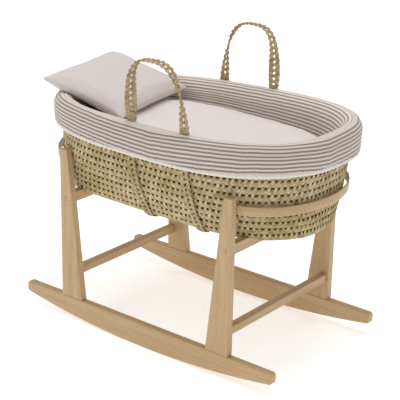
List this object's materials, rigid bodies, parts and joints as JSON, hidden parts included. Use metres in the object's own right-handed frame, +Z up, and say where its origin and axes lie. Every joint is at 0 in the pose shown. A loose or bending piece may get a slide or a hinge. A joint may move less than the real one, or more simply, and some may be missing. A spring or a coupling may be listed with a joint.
{
  "type": "moses basket on rocking stand",
  "caption": "Oval coiled palm baby basket with loop handles, padded striped liner, mattress, quilt and pillow, lifting off a curved-runner beech rocking stand.",
  "frame": {"origin": "on the floor, under the middle of the rockers", "axes": "+X towards the basket's foot end, -Y towards the front side, +Z up"},
  "size_m": [0.8553, 0.54, 0.7792],
  "materials": {
    "beech": "satin",
    "palm": "matte",
    "linen": "matte",
    "cream": "matte",
    "ticking": "matte",
    "zinc": "satin"
  },
  "bodies": {
    "stand": {"rocker_front": "beech", "rocker_back": "beech", "leg_front_head": "beech", "leg_front_foot": "beech", "leg_back_head": "beech", "leg_back_foot": "beech", "stretcher_head": "beech", "stretcher_foot": "beech", "support_rail_head": "beech", "support_rail_foot": "beech", "hoop_head": "beech", "hoop_foot": "beech", "leg_dowels": "beech", "stretcher_dowels": "beech", "rail_bolts": "zinc", "bolt_plugs": "beech", "barrel_nuts": "zinc", "hoop_screws": "zinc"},
    "basket": {"basket_floor": "palm", "basket_wall": "palm", "basket_border": "palm", "wall_straps_front": "palm", "wall_straps_back": "palm", "liner_skirt": "linen", "liner_roll": "linen", "liner_lining": "linen", "hem_elastic": "cream"},
    "front_handle": {"handle_front": "palm"},
    "back_handle": {"handle_back": "palm"},
    "mattress": {"mattress": "ticking"},
    "quilt": {"quilt": "linen"},
    "pillow": {"pillow": "linen"}
  },
  "joints": [
    {"name": "basket_lift", "type": "slide", "parent": "stand", "child": "basket", "axis": [0, 0, 1], "range_m": [0, 0.25]},
    {"name": "front_handle_fold", "type": "hinge", "parent": "basket", "child": "front_handle", "pos_m": [0.064, -0.245, 0.617], "axis": [0.9997, 0, 0.0252], "range_deg": [-80, 96]},
    {"name": "back_handle_fold", "type": "hinge", "parent": "basket", "child": "back_handle", "pos_m": [-0.031, 0.245, 0.6038], "axis": [-0.9997, 0, -0.0252], "range_deg": [-80, 96]},
    {"name": "mattress_lift", "type": "slide", "parent": "basket", "child": "mattress", "axis": [0, 0, 1], "range_m": [0, 0.2]},
    {"name": "quilt_lift", "type": "slide", "parent": "mattress", "child": "quilt", "axis": [0, 0, 1], "range_m": [0, 0.2]},
    {"name": "pillow_lift", "type": "slide", "parent": "quilt", "child": "pillow", "axis": [0, 0, 1], "range_m": [0, 0.2]}
  ]
}
